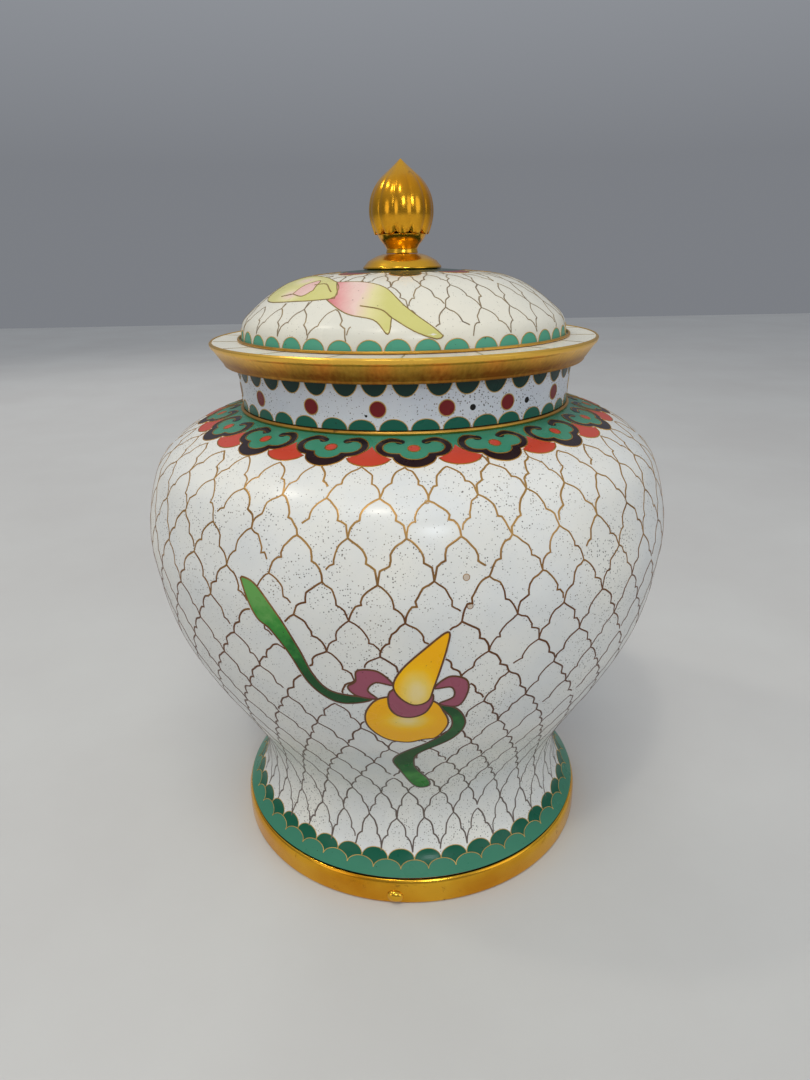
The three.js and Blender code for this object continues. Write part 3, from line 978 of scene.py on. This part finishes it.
def neck_band():
    """Scallops standing on the neck ring and hanging from the mouth, with a row of red dots between."""
    low_cells, high_cells, dots, pits, wires = Piece(), Piece(), Piece(), Piece(), Piece()
    draw = random.Random(5)
    scallop_row(low_cells, wires, neck, draw, count=39, first_angle=5.7, half=neck.degrees(2.6, 2),
                foot=neck.lengths[0], peak=2.85)
    scallop_row(high_cells, wires, neck, draw, count=40, first_angle=0.4, half=neck.degrees(2.55, 9),
                foot=10.4, peak=6.9, uneven=0.15)
    others = [DOT_ANGLES[-1] + step * (360 - DOT_ANGLES[-1] + DOT_ANGLES[0]) / 12 for step in range(1, 12)]
    for angle in DOT_ANGLES + others:
        ring = disc(neck, angle, 4.75, 1.52)
        cell(dots, neck, ring, LOW)
        stroke(wires, neck, ring, THIN_WIRE * 1.2, LOW, closed=True)
    for angle, along, radius in ((20, 4.5, 0.6), (40, 4.5, 0.6), (-28, 8, 0.3), (-11.5, 3.5, 0.25)):
        cell(pits, neck, disc(neck, angle, along, radius, 12), 0.01)
    low_cells.make("neck_lower_scallops", "jar", "dark_green_enamel", teal_green)
    high_cells.make("neck_upper_scallops", "jar", "dark_green_enamel", dark_green)
    dots.make("neck_dots", "jar", "red_enamel", dark_red)
    pits.make("neck_pits", "jar", "black_enamel", pit_dark)
    wires.make("neck_wires", "jar", "gilt_wire", fine_wire)


# ---------------- gourd and ribbons

BELLY_RADIUS = 55.0  # the gourd's outlines are millimetres across at this radius, and along the body
UPPER_BULB = [
    (6, 74.5), (6, 71.5), (4, 63), (3, 59.5), (0.5, 58.5), (-2, 60.5), (-3, 63.5), (-1.5, 67), (2, 71)]
WAIST_BAND = [(-3, 62.5), (-4, 58.5), (-2.5, 55.5), (0.5, 55), (3, 57), (3.5, 61.5)]
LOWER_BULB = [
    (-4.5, 60.5), (-8, 57), (-8.5, 52), (-5.5, 47.5), (-1, 46), (2.5, 47), (5, 47.5), (7, 52), (6, 56),
    (3.5, 59.5)]
LOOP_LEFT = [
    (-3, 63.5), (-5.5, 66.5), (-9, 66.5), (-9.5, 64), (-11, 62.5), (-9.5, 60.5), (-6, 60), (-7.5, 62),
    (-6, 64)]
LOOP_RIGHT = [(4, 62.5), (6.5, 65), (9.5, 64), (10, 61), (8.5, 57.5), (5, 58.5), (7.5, 60), (7, 62.5)]
RIBBON_LEFT = [
    (-29, 82), (-26, 81), (-22, 76), (-19, 70), (-17, 64.5), (-14, 61), (-7, 60), (-10, 58.5), (-14, 58.5),
    (-18, 62), (-21, 68.5), (-24, 73), (-26.5, 75), (-29, 81)]
RIBBON_RIGHT = [
    (5, 58), (8.5, 56.5), (10.5, 51.5), (8.5, 46.5), (1.5, 41), (0.5, 36), (1.5, 32.5), (4.5, 27.5),
    (5, 24.5), (2, 24), (-0.5, 26.5), (-3, 32.5), (-4.5, 37.5), (-2, 41.5), (4, 46), (7.5, 50), (7.5, 54)]


LOOP_HOLES = ((-5.6, 62.0, 1.9), (5.7, 60.8, 1.9))  # no wire of the ground is laid inside the bow's loops


def near(place, centre, reach):
    """1 at a centre and 0 beyond an oval reach, changing smoothly."""
    gap = math.hypot((place[0] - centre[0]) / reach[0], (place[1] - centre[1]) / reach[1])
    share = max(0.0, 1.0 - gap)
    return share * share * (3 - 2 * share)


def gourd(turn, name):
    """The double gourd tied with a mauve bow, and its two green ribbons. turn is the angle of its middle."""
    scale = math.degrees(1 / BELLY_RADIUS)
    wires = Piece()

    def bulb_tone(angle, along):
        return 0.95 * near(((angle - turn) / scale, along), (1.0, 61.5), (6.0, 9.5))

    def low_tone(angle, along):
        return 0.9 * near(((angle - turn) / scale, along), (-0.6, 53.8), (7.0, 4.8))

    def left_tone(angle, along):
        return min(1.0, max(0.0, (along - 60) / 20))

    def right_tone(angle, along):
        return 0.15 + 0.45 * near((0, along), (0, 28), (1, 9))

    parts = (  # each part covers those before it
        ("ribbon_left", RIBBON_LEFT, left_tone, "green_enamel", ribbon_green),
        ("ribbon_right", RIBBON_RIGHT, right_tone, "green_enamel", ribbon_green),
        ("loop_left", LOOP_LEFT, None, "mauve_enamel", mauve),
        ("loop_right", LOOP_RIGHT, None, "mauve_enamel", mauve),
        ("lower_bulb", LOWER_BULB, low_tone, "yellow_enamel", gourd_yellow),
        ("waist_band", WAIST_BAND, None, "mauve_enamel", mauve),
        ("upper_bulb", UPPER_BULB, bulb_tone, "yellow_enamel", gourd_yellow),
    )
    outlines = [closed_curve([(turn + x * scale, along) for x, along in points], 0.55)
                for _, points, *_ in parts]
    for index, (part, _, tone, slot, material) in enumerate(parts):
        piece, lift = Piece(), LOW + index * LAYER
        cell(piece, body, outlines[index], lift, tone)
        piece.make(f"{name}_{part}", "jar", slot, material)
        hidden = covered_by(outlines[index + 1:], BELLY_RADIUS, -0.05)
        lay_rim(wires, body, outlines[index], hidden, WIRE, lift)
    wires.make(f"{name}_wires", "jar", "gilt_wire", painted_shade_wire)
    holes = [disc(body, turn + x * scale, along, radius) for x, along, radius in LOOP_HOLES]
    return outlines + holes


CRATERS = ((9.5, 84, 0.5), (10, 79, 0.45), (3.5, 97, 0.3))  # where a bubble burst in the white enamel


def craters():
    """Round pits with a brown rim."""
    pits, rims = Piece(), Piece()
    for angle, along, radius in CRATERS:
        cell(pits, body, disc(body, angle, along, radius), 0.01)
        stroke(rims, body, disc(body, angle, along, radius + 0.06), 0.12, -0.03, closed=True)
    pits.make("body_pits", "jar", "black_enamel", pit_stain)
    rims.make("body_pit_rims", "jar", "gilt_wire", painted_shade_wire)


# ---------------- body lattice

BODY_ROWS = (111, 104.5, 97.5, 90.5, 83.5, 76.5, 70, 64, 57.5, 50.5, 43, 35.5, 28.5, 21.5, 13.5, 5.5)


def body_lattice(picture, collar):
    """The field of cusped arches, cut round the collar and the gourds."""
    on_picture = covered_by(picture, BELLY_RADIUS, 0.15)
    on_collar = covered_by(collar, BELLY_RADIUS)
    collar_foot = NECK_FOOT - 12.0
    collar_root = NECK_FOOT - 7.5

    def blocked(places):
        hidden = on_picture(places)
        if places[:, 1].max() > collar_foot:
            hidden |= on_collar(places) | (places[:, 1] > collar_root)
        return hidden

    wires = Piece()
    lattice(wires, body, columns=38, first_angle=4.1, rows=BODY_ROWS, blocked=blocked, seed=11)
    wires.make("body_lattice_wires", "jar", "gilt_wire", painted_shade_wire)


# ---------------- lid

LEAF_RADIUS = 30.0  # the leaf's outlines are millimetres across at this radius
LEAF_WIRE = 0.2
LEAF_HAND = (
    [(-17.5, 18), (-10, 18), (-4, 15.5), (0.5, 9.5), (6, 3)],
    [(6, 3), (5, 2.5), (1.5, 4), (-2, 7)],
    [(-2, 7), (-2.5, 3.5), (-5, 6.5), (-10, 8), (-15.5, 11.5)],
    [(-15.5, 11.5), (-14, 13), (-15.5, 15.5), (-17.5, 18)],
)
LEAF_CURL = (
    [(-14, 12), (-22, 11), (-36, 10.5), (-43, 16.5)],
    [(-43, 16.5), (-37.5, 21.5), (-26, 21), (-17.5, 18)],
    [(-17.5, 18), (-15, 15.5), (-14, 12)],
)
LENS = (
    [(-27, 13), (-23, 12.5), (-21.5, 14.5)],
    [(-21.5, 14.5), (-24, 18.5), (-27, 16.5), (-27, 13)],
)
FINGER_WIRE = [(-8, 10), (-4, 9), (-2, 7)]
CURL_WIRE = [(-23.5, 16.5), (-20, 17), (-16, 14)]
FOLD_WIRE = [(-30.5, 12), (-27, 13)]
# No wire of the ground is laid between the fingers and the scallops.
LEAF_CLEARING = [(-9, 8), (-3, 7), (3, 6), (5.5, 2.5), (1, 1.5), (-7.5, 1.5)]


def lid_leaf(turn, name):
    """A pink leaf with two green fingers, and the curled leaf that it grows from."""
    scale = math.degrees(1 / LEAF_RADIUS)
    wires = Piece()

    def on_lid(points):
        return np.array([(turn + x * scale, along) for x, along in points])

    def hand_tone(angle, along):
        x = (angle - turn) / scale
        blush = min(1.0, max(0.0, (x + 16.8) / 6 + (along - 15) / 14))
        return 0.4 * blush + 0.6 * min(1.0, max(0.0, (x + 9) / 6))

    def curl_tone(angle, along):
        x = (angle - turn) / scale
        pink = near((x, along), (-27.5, 12.6), (6.0, 3.0)) + near((x, along), (-31, 18.5), (8.0, 3.0))
        return max(0.25, 0.95 - 0.55 * pink)

    def lens_tone(*_):
        return 0.3

    parts = (("curl", LEAF_CURL, curl_tone), ("hand", LEAF_HAND, hand_tone), ("lens", LENS, lens_tone))
    outlines = [on_lid(loop(*runs, step=0.7)) for _, runs, _ in parts]
    for index, (part, _, tone) in enumerate(parts):
        piece = Piece()
        cell(piece, dome, outlines[index], LOW + index * LAYER, tone)
        piece.make(f"{name}_{part}", "lid", "pink_enamel", leaf_pink)
        stroke(wires, dome, outlines[index], LEAF_WIRE, LOW + index * LAYER, closed=True)
    for path in (FINGER_WIRE, CURL_WIRE, FOLD_WIRE):
        stroke(wires, dome, on_lid(spline(path, 0.7)), LEAF_WIRE * 1.3, MIDDLE)
    wires.make(f"{name}_wires", "lid", "gilt_wire", leaf_wire)
    return outlines[:2] + [on_lid(LEAF_CLEARING)]


def dome_scallops():
    """Green scallops that stand on the gilt ring round the foot of the dome."""
    cells, wires = Piece(), Piece()
    scallop_row(cells, wires, dome, random.Random(8), count=41, first_angle=-1.7,
                half=dome.degrees(2.35, 1), foot=0.35, peak=2.5)
    cells.make("dome_scallop_enamel_fine", "lid", "green_enamel", lid_green, replaces=["dome_scallop_enamel"])
    wires.make("dome_scallop_wires", "lid", "gilt_wire", fine_wire)


CROWN_LOBES = 8  # green ones and dark red ones in turn


def crown_collar():
    """Lobes round the finial's foot, green and dark red in turn."""
    green, red, wires = Piece(), Piece(), Piece()
    outlines = []
    for index in range(CROWN_LOBES):
        piece, half, peak = (red, 15.0, 23.8) if index % 2 else (green, 12.5, 21.8)
        shape = arch(2.0 + index * 360 / CROWN_LOBES, half, CROWN_EDGE + 0.2, peak)
        cell(piece, dome, shape)
        stroke(wires, dome, shape, OUTLINE_WIRE, LOW)
        outlines.append(shape)
    green.make("crown_green_lobes", "lid", "green_enamel", dark_green)
    red.make("crown_red_lobes", "lid", "red_enamel", dark_red)
    wires.make("crown_wires", "lid", "gilt_wire", gilt_wire)
    return outlines


def flange_marks():
    """Short slanting wires that divide the white of the flange."""
    flange = Surface(["flange_enamel"], start_height=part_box("flange_enamel")[0].z / MM)
    low, high = flange.lengths[0], flange.lengths[-1]
    wires = Piece()
    draw = random.Random(3)
    for index in range(18):
        angle = index * 20 + draw.uniform(-2, 2)
        slant = draw.uniform(-1.0, 3.0)
        stroke(wires, flange, spline([(angle, low + 0.3), (angle + slant, high - 0.3)], 1.0), 0.22)
    wires.make("flange_wires", "lid", "gilt_wire", leaf_wire)


DOME_ROWS = (29, 22.5, 16, 9, 2.5)


def dome_lattice(picture):
    on_picture = covered_by(picture, LEAF_RADIUS, 0.15)

    def blocked(places):
        return on_picture(places) | (places[:, 1] > CROWN_EDGE)

    wires = Piece()
    lattice(wires, dome, columns=28, first_angle=8.2, rows=DOME_ROWS, blocked=blocked, seed=23,
            sway=0.3, width=0.75)
    wires.make("dome_lattice_wires", "lid", "gilt_wire", lid_wire)


# ---------------- camera, floor and light

def add_camera():
    """The camera looks down at the jar from close by, and leans a little."""
    data = bpy.data.cameras.new("camera")
    data.sensor_width = 36.0
    data.lens = 24.93
    data.clip_start = 0.01
    camera = linked("camera", data)
    tilt = Matrix.Rotation(math.radians(90 - 20.92), 4, "X")
    lean = Matrix.Rotation(math.radians(-1.10), 4, "Z")
    camera.matrix_world = Matrix.Translation((-0.00054, -0.16885, 0.13425)) @ tilt @ lean
    bpy.context.scene.camera = camera


def add_floor():
    half = 1.5
    corners = [(-half, -half, 0), (half, -half, 0), (half, half, 0), (-half, half, 0)]
    mesh = bpy.data.meshes.new("floor")
    mesh.from_pydata(corners, [], [(0, 1, 2, 3)])
    mesh.materials.append(pale_floor("pale_floor"))
    linked("floor", mesh)


def add_light(name, place, size, power, colour, mirrored=True):
    """A round lamp aimed at the jar. One that isn't mirrored gives light but no highlight."""
    data = bpy.data.lights.new(name, "AREA")
    data.shape = "DISK"
    data.size = size
    data.energy = power
    data.color = colour
    lamp = linked(name, data)
    lamp.location = place
    lamp.visible_glossy = mirrored
    aim = Vector((0, 0, 0.07)) - Vector(place)
    lamp.rotation_euler = aim.to_track_quat("-Z", "Y").to_euler()


def add_studio():
    """Soft light from above and in front, and two small lamps that make the highlights on the shoulder."""
    world = bpy.data.worlds.new("studio")
    bpy.context.scene.world = world
    world.use_nodes = True
    tree = world.node_tree
    direction = tree.nodes.new("ShaderNodeTexCoord")
    split = tree.nodes.new("ShaderNodeSeparateXYZ")
    sky = tree.nodes.new("ShaderNodeValToRGB")
    horizon, zenith = sky.color_ramp.elements
    horizon.position, zenith.position = 0.1, 0.95
    horizon.color, zenith.color = (0.20, 0.21, 0.23, 1), (0.55, 0.58, 0.63, 1)
    tree.links.new(direction.outputs["Generated"], split.inputs[0])
    tree.links.new(split.outputs["Z"], sky.inputs[0])
    tree.links.new(sky.outputs[0], tree.nodes["Background"].inputs["Color"])
    add_light("softbox", (-0.05, -0.55, 1.10), 0.7, 5.2, (1.0, 0.96, 0.87), mirrored=False)
    add_light("lamp_left", (-0.41, -0.02, 0.70), 0.06, 0.4, (1.0, 0.93, 0.80))
    add_light("lamp_front", (-0.12, -0.37, 0.72), 0.06, 0.6, (1.0, 0.94, 0.83))
    add_light("window", (0.14, -0.70, 0.44), 0.13, 0.7, (0.88, 0.94, 1.0))
    add_light("fill", (0.65, -0.45, 0.30), 0.5, 0.6, (0.93, 0.96, 1.0))
    add_light("left_fill", (-0.6, -0.55, 0.25), 0.4, 0.4, (1.0, 0.95, 0.88))
    add_light("rim", (-0.4, 0.7, 0.6), 0.5, 1.5, (1.0, 0.97, 0.93), mirrored=False)
    bpy.context.scene.view_settings.view_transform = "Standard"


# ---------------- the jar

turned_pieces()
white_and_green_coats()
rim_band()
finial_bud()
foot_bead()
foot_skirt()
collar_outlines = shoulder_collar()
neck_band()
gourd_outlines = gourd(0.0, "gourd") + gourd(180.0, "back_gourd")
craters()
body_lattice(gourd_outlines, collar_outlines)
dome_scallops()
crown_outlines = crown_collar()
flange_marks()
leaf_outlines = lid_leaf(0.0, "leaf") + lid_leaf(180.0, "back_leaf")
dome_lattice(leaf_outlines + crown_outlines)
add_camera()
add_floor()
add_studio()
